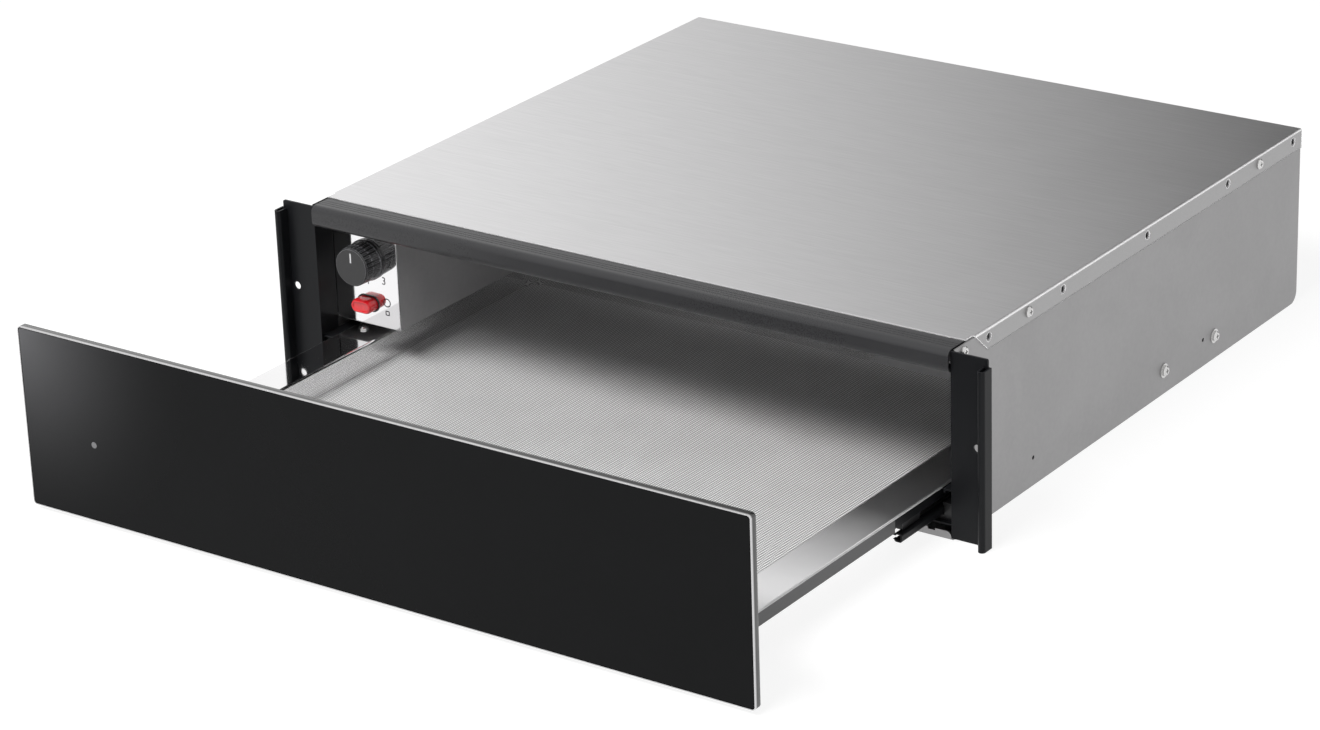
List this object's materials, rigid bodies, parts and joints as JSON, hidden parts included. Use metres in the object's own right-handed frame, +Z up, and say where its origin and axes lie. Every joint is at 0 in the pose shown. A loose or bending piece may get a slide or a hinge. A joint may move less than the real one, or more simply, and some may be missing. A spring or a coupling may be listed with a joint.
{
  "type": "built-in warming drawer",
  "caption": "Built-in warming drawer: steel housing with cover, black glass front, polished tray with dotted mat on telescopic runners, knob and push button, fan and tubular heater.",
  "frame": {"origin": "middle of the lower front edge of the housing: in the plane of the mounting brackets' front face, on the underside of the base pan, halfway between the sides", "axes": "+X to the right seen from the front, +Y to the back of the niche, +Z up; the drawer opens along -Y"},
  "size_m": [0.5964, 0.7775, 0.1375],
  "materials": {
    "cover_steel": "brushed along the width",
    "sheet_steel": "dull galvanised sheet",
    "polished_steel": "mirror polished stainless",
    "skirt_paint": "satin grey",
    "black_paint": "satin black",
    "rail_paint": "satin dark grey",
    "black_plastic": "fine matt",
    "nylon": "natural",
    "red_plastic": "clear red",
    "white_inlay": "smooth",
    "black_glass": "black gloss glass, opaque",
    "lens_plastic": "smoked",
    "mat_rubber": "light grey with a fine dot grid",
    "buffer_rubber": "dull",
    "screw_steel": "bright zinc",
    "fan_aluminium": "plain",
    "heater_steel": "heat darkened",
    "copper": "bare copper"
  },
  "bodies": {
    "housing": {"base_pan": "sheet_steel", "side_panel_left": "sheet_steel", "side_panel_right": "sheet_steel", "back_panel": "sheet_steel", "top_cover": "cover_steel", "front_rail": "rail_paint", "bracket_left": "black_paint", "bracket_right": "black_paint", "control_box": "sheet_steel", "fascia": "polished_steel", "thermostat": "black_plastic", "switch_body": "black_plastic", "switch_bezel": "black_plastic", "fan_scroll": "sheet_steel", "fan_motor": "sheet_steel", "heater_tube": "heater_steel", "heater_clips": "screw_steel", "thermal_cutout": "black_plastic", "terminal_block": "nylon", "cable_gland": "black_plastic", "heat_sensor": "copper", "cabinet_rail_left": "black_paint", "cabinet_rail_right": "black_paint", "cabinet_glides": "black_plastic", "stop_buffers": "buffer_rubber", "latch_body": "black_plastic", "cover_screws": "screw_steel", "side_screws": "screw_steel", "back_screws": "screw_steel"},
    "drawer": {"tray": "polished_steel", "mat": "mat_rubber", "skirt_left": "skirt_paint", "skirt_right": "skirt_paint", "drawer_rail_left": "black_paint", "drawer_rail_right": "black_paint", "drawer_glides": "black_plastic", "front_backing": "sheet_steel", "front_frame": "polished_steel", "glass_front": "black_glass", "indicator_lens": "lens_plastic", "ledge_screws": "screw_steel", "front_screws": "screw_steel"},
    "middle_left": {"middle_rail_left": "black_paint", "middle_glides_left": "black_plastic"},
    "middle_right": {"middle_rail_right": "black_paint", "middle_glides_right": "black_plastic"},
    "knob": {"knob": "black_plastic", "knob_pointer": "white_inlay", "thermostat_shaft": "screw_steel"},
    "button": {"switch_button": "red_plastic"},
    "fan": {"fan_wheel": "fan_aluminium", "fan_shaft": "screw_steel"},
    "plunger": {"latch_plunger": "nylon"}
  },
  "joints": [
    {"name": "drawer_slide", "type": "slide", "parent": "housing", "child": "drawer", "axis": [0, -1, 0], "range_m": [-0.26, 0.1]},
    {"name": "middle_left_slide", "type": "slide", "parent": "housing", "child": "middle_left", "axis": [0, -1, 0], "range_m": [-0.13, 0.05]},
    {"name": "middle_right_slide", "type": "slide", "parent": "housing", "child": "middle_right", "axis": [0, -1, 0], "range_m": [-0.13, 0.05]},
    {"name": "knob_turn", "type": "hinge", "parent": "housing", "child": "knob", "pos_m": [-0.2374, 0.0103, 0.094], "axis": [0, 1, 0], "range_deg": [0, 270]},
    {"name": "button_press", "type": "slide", "parent": "housing", "child": "button", "axis": [0, 1, 0], "range_m": [0, 0.003], "stiffness_N_per_m": 400, "springref_m": -0.002},
    {"name": "fan_spin", "type": "hinge", "parent": "housing", "child": "fan", "pos_m": [-0.224, 0.32, 0.0901], "axis": [1, 0, 0], "continuous": true},
    {"name": "plunger_push", "type": "slide", "parent": "housing", "child": "plunger", "axis": [0, 1, 0], "range_m": [0, 0.004], "stiffness_N_per_m": 300, "springref_m": -0.004}
  ],
  "couplings": [
    {"joint": "middle_left_slide", "follows": "drawer_slide", "ratio": 0.5},
    {"joint": "middle_right_slide", "follows": "drawer_slide", "ratio": 0.5}
  ]
}
